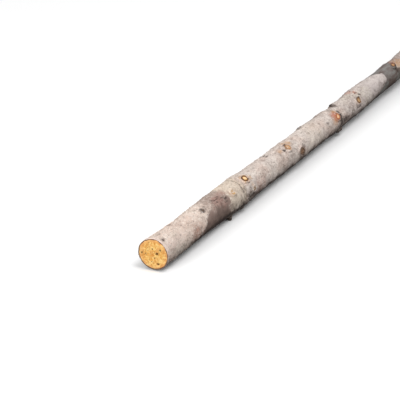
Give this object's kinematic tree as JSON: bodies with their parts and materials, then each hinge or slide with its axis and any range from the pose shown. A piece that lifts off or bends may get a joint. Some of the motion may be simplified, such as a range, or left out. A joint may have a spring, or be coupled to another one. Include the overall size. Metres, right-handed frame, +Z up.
{
  "type": "spruce pole",
  "caption": "Slim barked spruce pole with sawn ends, swollen whorls and trimmed branch stubs, lying on its stubs.",
  "frame": {"origin": "middle of the pole's box on the surface that it lies on", "axes": "+X along the pole from the thick butt to the thin end, +Z up, -Y the side seen in the picture"},
  "size_m": [1.5025, 0.056, 0.0549],
  "materials": {
    "bark": "matte pale grey-brown spruce bark",
    "sawn_wood": "golden sawn spruce end grain and branch wood"
  },
  "bodies": {
    "root": {"spruce_pole": "bark"}
  },
  "joints": []
}
